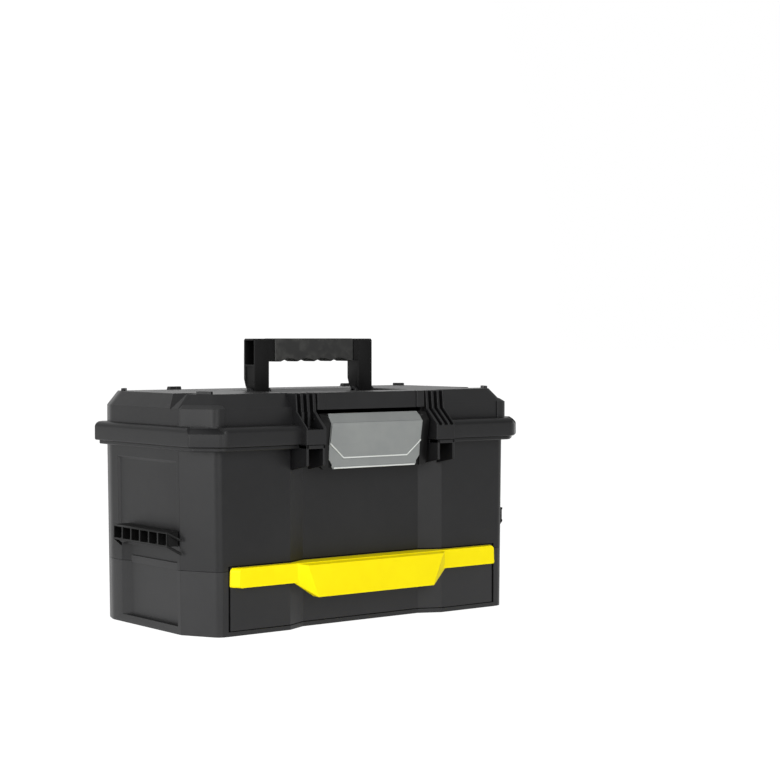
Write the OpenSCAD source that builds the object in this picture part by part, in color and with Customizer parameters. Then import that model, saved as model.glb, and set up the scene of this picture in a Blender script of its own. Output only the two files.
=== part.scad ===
// Portable tool box with a deep tub, a hinged lid, a centre latch, a folding
// carrying handle, a full-width drawer in its base and a lift-out tote tray.
// X runs along the front, the front faces -Y, Z is up, and the box stands on Z = 0.

/* [Case] */
// Length of the case walls
case_len = 451; // [440:1:460]
// How far the front wall stands in front of the centre
case_front = 98; // [97:0.5:99]
// How far the back wall stands behind the centre
case_back = 113.5; // [112:0.5:115]
// Length along the front that each front corner cut takes
corner_x = 23; // [18:1:28]
// Length along the side that each front corner cut takes
corner_y = 42; // [36:1:46]
// Thickness of the moulded walls
wall = 2.8; // [2.4:0.1:3.2]
// Height of the seam between the base and the tub
seam_z = 70.5; // [69:0.5:72]
// Height of the top face of the tub's flange
rim_z = 204.5; // [200:0.5:210]

/* [Front recess] */
// Half length of the front recess at the front face
recess_out = 108; // [104:1:112]
// Half length of the front recess at its floor
recess_in = 82; // [80:1:86]
// Depth of the front recess
recess_deep = 12.5; // [11:0.5:13]

/* [Drawer] */
// Half width of the drawer's opening
bay_half = 188.9; // [188:0.1:190]
// Height of the top of the drawer's opening
bay_top = 78; // [77.5:0.5:79]
// Height of the sill below the drawer front
sill_h = 5; // [4:0.5:5]
// How far the drawer pulls out
drawer_travel = 150; // [100:5:160]
// Half length of the yellow pull
pull_half = 187.6; // [185:0.1:188]
// How far the pull's band stands out from the drawer front
pull_out = 10; // [8:0.5:11]

/* [Lid] */
// Length of the lid's rim
rim_len = 466; // [462:1:474]
// How far the lid's rim stands in front of the case wall
rim_front = 18; // [16:0.5:18]
// How far the lid's rim stands behind the case wall
rim_rear = 8.5; // [8:0.5:9]
// Length of each front corner cut of the rim, the same both ways
rim_cut = 27.5; // [24:0.5:32]
// Height of the rim, up to the ledge that the lid's walls stand on
rim_band = 22; // [20:0.5:23]
// Size of the rim's rounded upper edge
rim_round = 6.5; // [5:0.5:7]
// Height at which the lid's sloped shoulder starts
shoulder_z = 245.5; // [245:0.5:246]
// Height of the lid's top face
lid_top = 261; // [260:0.5:262]
// How far the shoulder leans in at the front and the sides
shoulder_in = 14; // [12:1:15]

/* [Latch] */
// Half width of the latch lever
lever_half = 75.5; // [74:0.5:76]
// Half width of the silver plate
plate_half = 64.5; // [62:0.5:66]
// Inner side of the ribbed guards
guard_in = 78.5; // [78:0.5:79]
// Outer side of the ribbed guards
guard_out = 105; // [103:1:107]
// How far the guards stand in front of the case wall
guard_reach = 27.5; // [26:0.5:28]

/* [Handle] */
// Half length of the carrying handle
handle_half = 84.5; // [82:0.5:86]
// Width of each handle post
post_w = 19.5; // [18:0.5:20]
// Height of the top of the handle
handle_top = 321; // [316:1:324]
// Depth of the handle bar, front to back
bar_deep = 23; // [20:0.5:23]
// Height of the handle bar
bar_high = 26; // [22:0.5:28]

/* [Hinges] */
// Distance of each hinge's middle from the centre
hinge_x = 127; // [126:0.5:131]
// Radius of the hinge pins
hinge_pin_r = 2; // [1.8:0.1:2.2]
// Radial clearance round each turning pin
pin_gap = 0.05; // [0.02:0.01:0.09]

/* [Hidden] */

// Small distances
eps = 0.02;
over = 1;
gap = 0.4;

// Colours
black_plastic = [0.10, 0.10, 0.11];
dark_plastic = [0.07, 0.07, 0.075];
yellow_plastic = [0.98, 0.86, 0.03];
silver_paint = [0.62, 0.63, 0.62];
steel = [0.6, 0.6, 0.62];
soft_black = [0.13, 0.13, 0.13];

// Case plan
case_hx = case_len / 2;
back_x = 8;
back_y = 21.5;
bay_z0 = 3;
front_floor_y = -case_front + recess_deep;

// Side panels: a shallow one on the tub and a deeper one round the seam
panel_y0 = -51;
panel_y1 = 75;
panel_z1 = 188;
panel_in = 2;
foot_panel_in = 6.5;
foot_y0 = -50;
foot_y1 = 56;
foot_y2 = 69;
foot_z0 = 9;
foot_seam_z = 77;
foot_z1 = 90;

// Tub
tub_floor_z = 79;
tub_floor_t = 2.5;
lip_in = 6;
lip_top = rim_z + 4.5;
flange_h = 4;
flange_in = 5;
ledge_z = 187;

// Drawer
drawer_z0 = sill_h + 1;
drawer_back_y = 104;
tray_front_y = -80.5;
tray_half = 184.5;
tray_wall = 2.2;
tray_top = 66;
fascia_half = bay_half - 2.6;
fascia_top = bay_top - 1;
fascia_t = 3;
rail_x = 150;

// Pull
pull_z0 = 53;
pull_z1 = 76.5;
pull_t = 2.5;
scoop_top = 73;
scoop_z0 = 36;
scoop_half = 82;
scoop_out = pull_out + 8;

// Lid
lid_gap = 0.4;
lid_z0 = rim_z + lid_gap;
rim_hx = rim_len / 2;
rim_y0 = -case_front - rim_front;
rim_y1 = case_back + rim_rear;
rim_back = 5;
rim_top = rim_z + rim_band;
corner_ledge_z = 219.5;
skin = 3;
recess_hx = 92;
recess_y0 = -56;
recess_y1 = 32;
recess_z = lid_top - 10;
groove_y = -41;
groove_z = 243.5;
groove_x = 190;

// Latch pivot and lever
lever_axis = [-105.5, 232];
latch_pin_r = 2.5;
lever_z0 = 176;
lever_knee_z = 228;
lever_top_z = 237.8;
lever_back_y = -101;
plate_t = 2;
rib_w = 3.5;
guard_slots = [84.5, 92.75, 101];
slot_w = 4.6;

// Handle
handle_axis = [12, 258.5];
handle_pin_r = 2.5;
foot_r = 6.3;
bar_y0 = handle_axis[0] - foot_r;
bar_y1 = bar_y0 + bar_deep;
bar_z0 = handle_top - bar_high;
grip_half = 57.5;
ear_r = 5.5;
ear_t = 4;

// Hinge
hinge_axis = [120.5, rim_z + 1.5];
hinge_bay_y = 114.5;
knuckle_bay_z = 214;
knuckle_r = 5;
arm_half = 8;
arm_slot = 1;
lug_t = 6;
lug_gap = 0.5;

// Tote tray
tote_hx = 199;
tote_y0 = -76;
tote_y1 = 103;
tote_z0 = 146;
tote_z1 = 190;
tote_t = 2.2;
tote_mid = 13;
tote_grip_half = 70;
tote_grip_top = 232;

// ---------------------------------------------------------------- plans

// The two points of a front corner cut on the +X side, moved in by t
function front_cut(hx, y0, cx, cy, t) =
    let (run = norm([cx, cy]))
    [[hx - cx - t * (run - cx) / cy, y0 + t], [hx - t, y0 + cy + t * (run - cy) / cx]];

// The two points of a back corner cut on the +X side, moved in by t
function back_cut(hx, y1, cx, cy, t) =
    let (run = norm([cx, cy]))
    [[hx - t, y1 - cy - t * (run - cy) / cx], [hx - cx - t * (run - cx) / cy, y1 - t]];

// A whole plan from its points on the +X side, front to back
function both_sides(p) = concat(p, [for (i = [len(p) - 1:-1:0]) [-p[i][0], p[i][1]]]);

function case_points(t) = both_sides(concat(
    front_cut(case_hx, -case_front, corner_x, corner_y, t),
    back_cut(case_hx, case_back, back_x, back_y, t)
));

module full_plan() {
    polygon(case_points(0));
}

// The case plan with the recess in its front
module case_plan() {
    difference() {
        full_plan();
        polygon([
            [-recess_out - over, -case_front - over], [-recess_out, -case_front], [-recess_in, front_floor_y],
            [recess_in, front_floor_y], [recess_out, -case_front], [recess_out + over, -case_front - over]
        ]);
    }
}

// The case plan moved in by t, no longer than half_x each way
module inner_plan(t, half_x) {
    intersection() {
        offset(delta = -t) case_plan();
        square([2 * half_x, 3 * case_back], center = true);
    }
}

module rim_plan(inset) {
    polygon(both_sides(concat(
        front_cut(rim_hx, rim_y0, rim_cut, rim_cut, inset),
        back_cut(rim_hx, rim_y1, rim_back, rim_back, inset)
    )));
}

module lid_plan(inset) {
    polygon(case_points(inset));
}

// The lid's top, leaning in at the front and the sides but not at the back
module lid_top_plan(inset) {
    polygon(both_sides(concat(
        front_cut(case_hx, -case_front, corner_x, corner_y, inset + shoulder_in),
        back_cut(case_hx - shoulder_in, case_back, back_x, back_y, inset)
    )));
}

// A flat plan raised between two heights
module slab(z0, z1) {
    translate([0, 0, z0]) linear_extrude(z1 - z0) children();
}

// A box given by its low and high corners
module box(lo, hi) {
    translate(lo) cube(hi - lo);
}

// A side profile, drawn as [y, z] points, run along X from x0 to x1
module along_x(x0, x1) {
    translate([x0, 0, 0]) rotate([90, 0, 90]) linear_extrude(x1 - x0) children();
}

// A round bar along X
module rod(x0, x1, at, r) {
    translate([x0, at[0], at[1]]) rotate([0, 90, 0]) cylinder(h = x1 - x0, r = r, $fn = 48);
}

module both_ends() {
    children();
    mirror([1, 0, 0]) children();
}

// ---------------------------------------------------------------- base

// The lower side panel, cut in with a slanted rear end, on the +X side
module foot_panel_cut(z0, z1) {
    slab(z0, z1) polygon([
        [case_hx - foot_panel_in, foot_y0], [case_hx + over, foot_y0],
        [case_hx + over, foot_y2 + 2], [case_hx, foot_y2], [case_hx - foot_panel_in, foot_y1]
    ]);
}

screw_spots = [[-204, -66], [204, -66], [-204, 78], [204, 78]];

module base_shell() {
    color(black_plastic) difference() {
        union() {
            slab(0, bay_z0) case_plan();
            slab(0, seam_z) difference() {
                case_plan();
                inner_plan(wall, case_hx - foot_panel_in - wall);
            }
            both_ends() box([case_hx - foot_panel_in - wall, foot_y0 + 0.15, seam_z - over],
                [case_hx - foot_panel_in, foot_y1 - 0.15, foot_seam_z]);
            both_ends() box([bay_half, -case_front + over, 1], [bay_half + wall, case_back - over, 68]);
            both_ends() box([rail_x, -84, 1], [rail_x + 8, drawer_back_y, drawer_z0 - 0.4]);
            for (s = screw_spots) translate([s[0], s[1], 1]) cylinder(h = seam_z - 1, r = 6, $fn = 48);
        }
        box([-bay_half, -case_front - over, sill_h], [bay_half, front_floor_y + wall + over, seam_z + over]);
        both_ends() foot_panel_cut(foot_z0, foot_seam_z + over);
        for (s = screw_spots) translate([s[0], s[1], -over]) cylinder(h = 59, r = 4.2, $fn = 48);
        for (s = screw_spots) translate([s[0], s[1], -over]) cylinder(h = 80, r = 1.8, $fn = 48);
    }
}

module case_screws() {
    color(steel) for (s = screw_spots) translate([s[0], s[1], 0]) {
        translate([0, 0, 54]) cylinder(h = 4, r = 3.8, $fn = 48);
        translate([0, 0, 58 - eps]) cylinder(h = 17, r = 1.6, $fn = 48);
    }
}

// ---------------------------------------------------------------- tub

// One lug of a hinge on the tub, as a side profile
module lug_profile() {
    polygon([
        [case_back - over, 190], [118, 201], [hinge_axis[0] + 1, hinge_axis[1]],
        [hinge_axis[0] - 3, rim_z - 0.2], [case_back - over, rim_z - 0.2]
    ]);
}

module tub_hinge_lugs() {
    for (x = [hinge_x - arm_half - lug_gap - lug_t, hinge_x + arm_half + lug_gap]) {
        along_x(x, x + lug_t) lug_profile();
        rod(x, x + lug_t, hinge_axis, knuckle_r);
    }
}

// The shelf and the two gussets below each latch guard
module tub_guard() {
    y0 = -case_front - guard_reach;
    gusset = [[-case_front + 2, 176], [y0, 182], [y0, rim_z], [-case_front + 2, rim_z]];
    box([guard_in + 1.5, y0, rim_z - 4], [guard_out, -case_front + 2, rim_z]);
    along_x(guard_in + 1.5, guard_in + 4.5) polygon(gusset);
    along_x(guard_out - 3, guard_out) polygon(gusset);
}

module tub() {
    color(black_plastic) difference() {
        union() {
            slab(seam_z, rim_z) case_plan();
            slab(rim_z - flange_h, rim_z) difference() {
                rim_plan(flange_in);
                translate([-guard_in - 1, -2 * case_front + 0.5 - over]) square([2 * guard_in + 2, case_front]);
            }
            slab(rim_z - flange_h, rim_z) translate([-guard_in - 2, -case_front]) square([2 * guard_in + 4, 20]);
            slab(rim_z - over, lip_top) inner_plan(lip_in - 2.2, case_hx);
            both_ends() tub_guard();
            both_ends() tub_hinge_lugs();
        }
        // space over the floor, narrow between the lower panels and wide above
        slab(tub_floor_z + tub_floor_t, foot_z1 + wall) inner_plan(wall, case_hx - foot_panel_in - wall);
        slab(foot_z1 + wall - eps, rim_z - flange_h) inner_plan(wall, case_hx - panel_in - wall);
        slab(rim_z - flange_h - eps, lip_top + over) inner_plan(lip_in, case_hx);
        // space under the floor
        slab(seam_z - over, tub_floor_z) inner_plan(wall, case_hx - foot_panel_in - wall);
        box([-bay_half, -case_front - over, seam_z - over], [bay_half, front_floor_y + wall + over, bay_top]);
        both_ends() box([case_hx - foot_panel_in - wall - over, foot_y0, seam_z - over],
            [case_hx + over, foot_y1, foot_seam_z + 0.15]);
        both_ends() foot_panel_cut(seam_z - over, foot_z1);
        both_ends() box([case_hx - panel_in, panel_y0, foot_z1 - eps], [case_hx + over, panel_y1, panel_z1]);
        // bays in the flange for the lid's knuckles
        both_ends() box([hinge_x - arm_half - lug_gap, hinge_bay_y, rim_z - flange_h - over],
            [hinge_x + arm_half + lug_gap, 130, rim_z + over]);
        both_ends() rod(hinge_x - 20, hinge_x + 20, hinge_axis, hinge_pin_r + pin_gap);
    }
    // bosses for the case screws and ledges for the tote tray
    color(black_plastic) difference() {
        for (s = screw_spots) translate([s[0], s[1], seam_z]) cylinder(h = tub_floor_z - seam_z + 1, r = 6, $fn = 48);
        for (s = screw_spots) translate([s[0], s[1], seam_z - over]) cylinder(h = 6, r = 1.65, $fn = 48);
    }
    color(black_plastic) both_ends() along_ledge();
}

// A ledge on the end wall that carries the tote tray, on the +X side
module along_ledge() {
    box([203, -45, ledge_z - 10], [case_hx - panel_in - wall + 1, 60, ledge_z]);
}

// The strike that the latch closes over
module latch_keeper() {
    color(dark_plastic) difference() {
        box([-25, -106, 186], [25, -case_front - 0.5, 200]);
        box([-21, -106 - over, 189], [21, -103, 197]);
    }
}

// A hinge pin with its head at the outer end, on the +X side
module hinge_pin() {
    x0 = hinge_x - arm_half - lug_gap - lug_t;
    x1 = hinge_x + arm_half + lug_gap + lug_t;
    rod(x0, x1 + 0.2, hinge_axis, hinge_pin_r);
    rod(x1, x1 + 1.6, hinge_axis, 3.4);
}

module hinge_pin_right() {
    color(steel) hinge_pin();
}

module hinge_pin_left() {
    color(steel) mirror([1, 0, 0]) hinge_pin();
}

// ---------------------------------------------------------------- side grips

grip_y0 = -55;
grip_y1 = 59;
grip_z0 = 96;
grip_z1 = 113;
grip_x = case_hx + 14.5;
grip_drop = 9;
grip_cells = 6;

// A slanted end of the grip that drops to the wall, at y0 going to y1
module grip_end(z0, z1, y0, y1) {
    hull() {
        box([grip_x - 2, min(y0, y0 + sign(y1 - y0)), z0], [grip_x, max(y0, y0 + sign(y1 - y0)), z1]);
        box([case_hx - panel_in, min(y1, y1 + sign(y1 - y0)), z0 - grip_drop],
            [case_hx, max(y1, y1 + sign(y1 - y0)), z1 - grip_drop]);
    }
}

// The ladder grip on the +X side, clear of the wall round the side panel
module side_grip() {
    difference() {
        grip_ladder();
        box([case_hx - panel_in - over, grip_y0 - 20, grip_z0 - 20], [case_hx, panel_y0, grip_z1 + 20]);
        box([case_hx - panel_in - over, grip_y1, grip_z0 - 20], [case_hx, panel_y1, foot_z1]);
    }
}

module grip_ladder() {
    pitch = (grip_y1 - grip_y0) / grip_cells;
    difference() {
        box([case_hx - panel_in, grip_y0, grip_z0], [grip_x, grip_y1, grip_z1]);
        box([case_hx + 0.5, grip_y0 - over, grip_z0 - over], [grip_x - 2.2, grip_y1 + over, grip_z1 - 2.2]);
        for (i = [0:grip_cells - 1]) {
            y = grip_y0 + pitch * i;
            box([grip_x - 4, y + 1.2, grip_z0 + 2.2], [grip_x + over, y + pitch - 1.2, grip_z1 - 2.2]);
        }
    }
    grip_end(grip_z1 - 2.2, grip_z1, grip_y0, -61);
    grip_end(grip_z0, grip_z0 + 2.2, grip_y0, -61);
    grip_end(grip_z1 - 2.2, grip_z1, grip_y1, 67);
    grip_end(grip_z0, grip_z0 + 2.2, grip_y1, 67);
}

module side_grip_right() {
    color(dark_plastic) side_grip();
}

module side_grip_left() {
    color(dark_plastic) mirror([1, 0, 0]) side_grip();
}

// ---------------------------------------------------------------- lid

// The lid's outer form: its rim with a rounded upper edge, its walls and its shoulder
module lid_form() {
    slab(lid_z0, rim_top - rim_round) rim_plan(0);
    hull() {
        slab(rim_top - rim_round - eps, rim_top - rim_round) rim_plan(0);
        slab(rim_top - 0.29 * rim_round - eps, rim_top - 0.29 * rim_round) rim_plan(0.29 * rim_round);
    }
    hull() {
        slab(rim_top - 0.29 * rim_round - eps, rim_top - 0.29 * rim_round) rim_plan(0.29 * rim_round);
        slab(rim_top - eps, rim_top) rim_plan(rim_round);
    }
    slab(rim_top - eps, shoulder_z) lid_plan(0);
    hull() {
        slab(shoulder_z - eps, shoulder_z) lid_plan(0);
        slab(lid_top - eps, lid_top) lid_top_plan(0);
    }
}

// The space inside the lid's skin
module lid_hollow() {
    slab(lid_z0 - over, rim_top - rim_round) rim_plan(skin);
    slab(rim_top - rim_round - eps, rim_top - skin) rim_plan(rim_round);
    slab(rim_top - skin - eps, shoulder_z - skin / 2) lid_plan(skin);
    hull() {
        slab(shoulder_z - skin / 2 - eps, shoulder_z - skin / 2) lid_plan(skin);
        slab(lid_top - skin - eps, lid_top - skin) lid_top_plan(skin);
    }
}

// A strip along the front corner cut of the lid, from t0 to t1 outwards, on the +X side
module corner_quad(t0, t1) {
    run = norm([corner_x, corner_y]);
    along = [corner_x / run, corner_y / run];
    out = [along[1], -along[0]];
    a = [case_hx - corner_x, -case_front];
    b = [case_hx, -case_front + corner_y];
    polygon([a + t0 * out, a + t1 * out, b + t1 * out, b + t0 * out]);
}

// The raised block on each front corner of the lid, on the +X side
module corner_block() {
    slab(rim_top + 0.5, shoulder_z) corner_quad(-2, 3);
}

// The stacking tabs on the front and back corners of the top, on the +X side
module corner_tabs() {
    polygon([[205.5, -60], [197, -77], [193.5, -75.2], [202, -58.2]]);
    polygon([[207.5, 98], [198, 108.5], [195, 105.8], [204.5, 95.3]]);
}

// One arm of a lid hinge, as a side profile
module arm_profile() {
    polygon([
        [case_back - 2, 207], [hinge_axis[0] - 4.5, 207], [hinge_axis[0], 204], [hinge_axis[0] + 4.5, 207],
        [hinge_axis[0] + 1, 222], [case_back + 4, 261], [case_back + 2.5, 264.5], [case_back - 3, 264.5],
        [case_back - 4.5, 260], [case_back - 2, 256]
    ]);
}

module lid_hinge_arms() {
    for (x = [hinge_x - arm_half, hinge_x + arm_slot]) {
        along_x(x, x + arm_half - arm_slot) arm_profile();
        rod(x, x + arm_half - arm_slot, hinge_axis, knuckle_r);
    }
}

// The ears that carry one end of the handle
module handle_ears() {
    for (x = [handle_half - post_w - 0.4 - ear_t, handle_half + 0.4]) {
        rod(x, x + ear_t, handle_axis, ear_r);
        box([x, handle_axis[0] - ear_r + 0.5, recess_z - 1], [x + ear_t, handle_axis[0] + ear_r - 0.5, handle_axis[1]]);
    }
}

module lid_shell() {
    color(black_plastic) difference() {
        union() {
            difference() {
                union() {
                    lid_form();
                    both_ends() corner_block();
                    both_ends() latch_guard();
                }
                lid_hollow();
            }
            // floor and end walls of the step under each corner block
            both_ends() slab(rim_top - rim_round - skin, rim_top - 0.5) intersection() {
                offset(delta = skin) corner_quad(0, 12);
                rim_plan(rim_round - 1);
            }
            both_ends() slab(rim_top - rim_round - skin, corner_ledge_z) intersection() {
                corner_quad(-skin, 12);
                rim_plan(skin - 0.5);
            }
            // wall behind the latch and the panel above it
            box([-guard_in - 5, -case_front, lid_z0], [guard_in + 5, -case_front + skin, rim_top + 2]);
            centre_panel();
            // pan of the handle recess
            box([-recess_hx - skin, recess_y0 - skin, recess_z - skin], [recess_hx + skin, recess_y1 + skin, lid_top - 1]);
            // floor of the pipe groove at each end
            both_ends() translate([0, groove_y + 24, 0]) rotate([90, 0, 0]) linear_extrude(40) polygon([
                [groove_x - skin, groove_z - skin], [case_hx - 1, groove_z - skin], [case_hx - 1, shoulder_z],
                [case_hx - shoulder_in - 0.5, lid_top - 1.5], [groove_x - skin, lid_top - 1.5]
            ]);
            both_ends() lid_hinge_arms();
            both_ends() slab(lid_top - 2, lid_top + 3) corner_tabs();
        }
        box([-recess_hx, recess_y0, recess_z], [recess_hx, recess_y1, lid_top + 5]);
        // bay for the latch
        box([-guard_in, rim_y0 - over, lid_z0 - over], [guard_in, -case_front, 242]);
        both_ends() guard_cuts();
        // step under each corner block
        both_ends() slab(corner_ledge_z, rim_top + 0.5) corner_quad(0, 30);
        // bays for the hinge knuckles
        both_ends() box([hinge_x - 17, hinge_bay_y, lid_z0 - over], [hinge_x - arm_half, 130, knuckle_bay_z]);
        both_ends() box([hinge_x + arm_half, hinge_bay_y, lid_z0 - over], [hinge_x + 19, 130, knuckle_bay_z]);
        both_ends() box([hinge_x - arm_slot, hinge_bay_y, lid_z0 - over], [hinge_x + arm_slot, 130, rim_top + 1]);
        both_ends() along_x(groove_x, case_hx + 5) polygon([
            [groove_y, groove_z], [groove_y + 19, lid_top + 1], [groove_y - 10, lid_top + 1]
        ]);
        both_ends() rod(hinge_x - 20, hinge_x + 20, hinge_axis, hinge_pin_r + pin_gap);
    }
    color(black_plastic) difference() {
        both_ends() handle_ears();
        both_ends() rod(50, 100, handle_axis, handle_pin_r + pin_gap);
    }
}

// The upright panel above the latch, with a step near each end
module centre_panel() {
    difference() {
        box([-76, -case_front - 7.5, 242], [76, -case_front + shoulder_in + 2, lid_top]);
        box([-66, -case_front - 8.5, 241], [66, -case_front - 5.5, lid_top + over]);
        box([-73, -case_front - 4.5, 241], [73, -case_front + shoulder_in, lid_top - skin]);
    }
}

// The ribbed guard beside the latch, on the +X side
module latch_guard() {
    y0 = -case_front - guard_reach;
    back = -case_front + 2;
    profile = [
        [back, lid_z0], [y0, lid_z0], [y0, 225], [-case_front - 9, 243], [-case_front - 6.5, lid_top],
        [-case_front + shoulder_in + 2, lid_top], [-case_front + 2, shoulder_z]
    ];
    along_x(guard_in, guard_out) polygon(profile);
}

// What is cut out of a guard: its slots, the pin's hole and the hollow below, open under the rim
module guard_cuts() {
    y0 = -case_front - guard_reach;
    for (x = guard_slots) {
        box([x - slot_w / 2, y0 - over, 225], [x + slot_w / 2, -case_front - 0.5, lid_top + over]);
    }
    rod(guard_in - over, guard_in + 6, lever_axis, latch_pin_r + pin_gap);
    box([guard_in + 3, y0 + 3, lid_z0 - over], [guard_out - 3, -case_front - 3, 221]);
}

// ---------------------------------------------------------------- latch

// Front line of the latch, as [y, z] points from the bottom up
latch_line = [[-109.8, lever_z0], [-112, 205], [-115.8, lever_knee_z], [-107.5, lever_top_z]];

// The latch line moved back by t
function latch_back(t) = [for (i = [3:-1:0]) latch_line[i] + [t, i == 3 ? -0.6 * t : (i == 2 ? -0.35 * t : 0)]];

module latch_skin(t0, t1) {
    polygon(concat([for (i = [0:3]) latch_back(t0)[3 - i]], latch_back(t1)));
}

module latch_lever() {
    color(dark_plastic) difference() {
        union() {
            along_x(-lever_half, lever_half) latch_skin(0.5, plate_t + 1.8);
            both_ends() along_x(lever_half - 3, lever_half) polygon(concat(
                [for (i = [0:3]) latch_back(1)[3 - i]],
                [[lever_back_y, 236], [lever_back_y, 190], [-105, lever_z0]]
            ));
            both_ends() rod(lever_half - 9, lever_half, lever_axis, 5.4);
            box([-lever_half, -109, lever_z0], [lever_half, -106.6, lever_z0 + 3]);
        }
        along_x(-plate_half - 0.2, plate_half + 0.2) latch_skin(-2, plate_t);
        both_ends() rod(lever_half - 10, lever_half + over, lever_axis, latch_pin_r + pin_gap);
        both_ends() translate([0, -90, 0]) rotate([90, 0, 0]) linear_extrude(40)
            polygon([[lever_half - 5, lever_z0 - over], [lever_half + over, lever_z0 - over], [lever_half + over, lever_z0 + 5]]);
    }
}

// The silver plate, with a raised lower lip and cut lower corners
module latch_plate() {
    lip = [[-plate_half, lever_z0], [plate_half, lever_z0], [plate_half, 202], [46, 187], [-46, 187], [-plate_half, 202]];
    color(silver_paint) difference() {
        union() {
            along_x(-plate_half, plate_half) latch_skin(0, plate_t - 0.02);
            intersection() {
                along_x(-plate_half, plate_half) latch_skin(-1.2, plate_t - 0.02);
                translate([0, -100, 0]) rotate([90, 0, 0]) linear_extrude(20) polygon(lip);
            }
        }
        both_ends() translate([0, -100, 0]) rotate([90, 0, 0]) linear_extrude(30) polygon([
            [plate_half - 4.5, lever_z0 - over], [plate_half + over, lever_z0 - over],
            [plate_half + over, lever_z0 + 11], [plate_half - 0.3, lever_z0 + 11], [plate_half - 4.5, lever_z0 + 5]
        ]);
    }
}

module latch_pin() {
    rod(lever_half - 9, guard_in + 4, lever_axis, latch_pin_r);
}

module latch_pin_right() {
    color(steel) latch_pin();
}

module latch_pin_left() {
    color(steel) mirror([1, 0, 0]) latch_pin();
}

// ---------------------------------------------------------------- handle

// One handle post as a side profile, with its back tapered to the foot
module post_profile() {
    polygon([
        [bar_y0, handle_axis[1]], [handle_axis[0] + 4.4, handle_axis[1] - 4.4], [bar_y1 - 3, 266],
        [bar_y1, 274], [bar_y1, handle_top - 2], [bar_y1 - 2, handle_top], [bar_y0 + 2, handle_top],
        [bar_y0, handle_top - 2]
    ]);
}

module handle_frame() {
    x0 = handle_half - post_w;
    color(dark_plastic) difference() {
        union() {
            both_ends() along_x(x0, handle_half) post_profile();
            both_ends() rod(x0, handle_half, handle_axis, foot_r);
            both_ends() box([grip_half, bar_y0 + 0.5, bar_z0 + 0.5], [x0 + over, bar_y1 - 0.5, handle_top - 0.5]);
            box([-grip_half - over, bar_y0 + 3, bar_z0 + 4], [grip_half + over, bar_y1 - 3, handle_top - 3]);
        }
        both_ends() box([x0 + 2.5, bar_y0 + 2.4, 291], [handle_half + over, bar_y1 - 2.4, handle_top - 2.2]);
        both_ends() box([handle_half - 1.2, bar_y0 + 2.4, 268], [handle_half + over, bar_y1 - 3.4, 288.5]);
        both_ends() rod(x0 - over, handle_half + over, handle_axis, handle_pin_r + pin_gap);
    }
}

// The soft grip, a sleeve with finger waves along its underside
module handle_grip() {
    waves = [for (i = [0:40]) let (x = -grip_half + 2 * grip_half * i / 40)
        [x, bar_z0 + (abs(x) > 48 ? 0 : 0.9 - 0.9 * cos(x * 15))]];
    color(soft_black) difference() {
        translate([0, bar_y1 + 0.3, 0]) rotate([90, 0, 0]) linear_extrude(bar_deep + 0.6)
            polygon(concat(waves, [[grip_half, handle_top + 0.3], [-grip_half, handle_top + 0.3]]));
        box([-grip_half - over, bar_y0 + 3, bar_z0 + 4], [grip_half + over, bar_y1 - 3, handle_top - 3]);
    }
}

module handle_pin() {
    rod(handle_half - post_w - 0.4 - ear_t, handle_half + 0.4 + ear_t, handle_axis, handle_pin_r);
}

module handle_pin_right() {
    color(steel) handle_pin();
}

module handle_pin_left() {
    color(steel) mirror([1, 0, 0]) handle_pin();
}

// ---------------------------------------------------------------- drawer

module drawer_tray() {
    color(black_plastic) difference() {
        box([-tray_half, tray_front_y, drawer_z0], [tray_half, drawer_back_y, tray_top]);
        box([-tray_half + tray_wall, tray_front_y + tray_wall, drawer_z0 + tray_wall],
            [tray_half - tray_wall, drawer_back_y - tray_wall, tray_top + over]);
    }
}

// The drawer front's plan, with the same recess as the case
module fascia_plan(t) {
    polygon([
        [-fascia_half + t, -case_front + t], [-recess_out + 0.45 * t, -case_front + t], [-recess_in + 0.45 * t, front_floor_y + t],
        [recess_in - 0.45 * t, front_floor_y + t], [recess_out - 0.45 * t, -case_front + t], [fascia_half - t, -case_front + t],
        [fascia_half - t, tray_front_y + (t > 0 ? over : 0)], [-fascia_half + t, tray_front_y + (t > 0 ? over : 0)]
    ]);
}

module drawer_front() {
    color(black_plastic) difference() {
        slab(drawer_z0, fascia_top) fascia_plan(0);
        slab(drawer_z0 + fascia_t, fascia_top - fascia_t) fascia_plan(fascia_t);
    }
}

// The pull's plan out to its band, less t all round its front
module pull_plan(t) {
    y = -case_front - pull_out + t;
    polygon([
        [-pull_half + t, -case_front], [-pull_half + 7 + t / 2, y], [pull_half - 7 - t / 2, y], [pull_half - t, -case_front],
        [recess_out, -case_front], [recess_in, front_floor_y], [-recess_in, front_floor_y], [-recess_out, -case_front]
    ]);
}

// The forward-swelling grip of the pull, smaller by t
module pull_scoop(t) {
    y = -case_front - pull_out;
    yo = -case_front - scoop_out;
    hull() {
        for (s = [-1, 1]) {
            box([s * (108 - t) - 0.5, y + 3, pull_z0 + t], [s * (108 - t) + 0.5, y + 4, pull_z1 - t]);
            box([s * (96 - t) - 0.5, yo + t, scoop_top - t - 0.5], [s * (96 - t) + 0.5, yo + 1 + t, scoop_top - t]);
            box([s * (scoop_half - t) - 0.5, yo + t, scoop_z0 - (t > 0 ? over : 0)],
                [s * (scoop_half - t) + 0.5, yo + 1 + t, scoop_z0 + 1]);
            box([s * (scoop_half - t) - 0.5, y + 3, scoop_z0 - (t > 0 ? over : 0)],
                [s * (scoop_half - t) + 0.5, y + 4, scoop_z0 + 1]);
        }
    }
}

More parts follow.
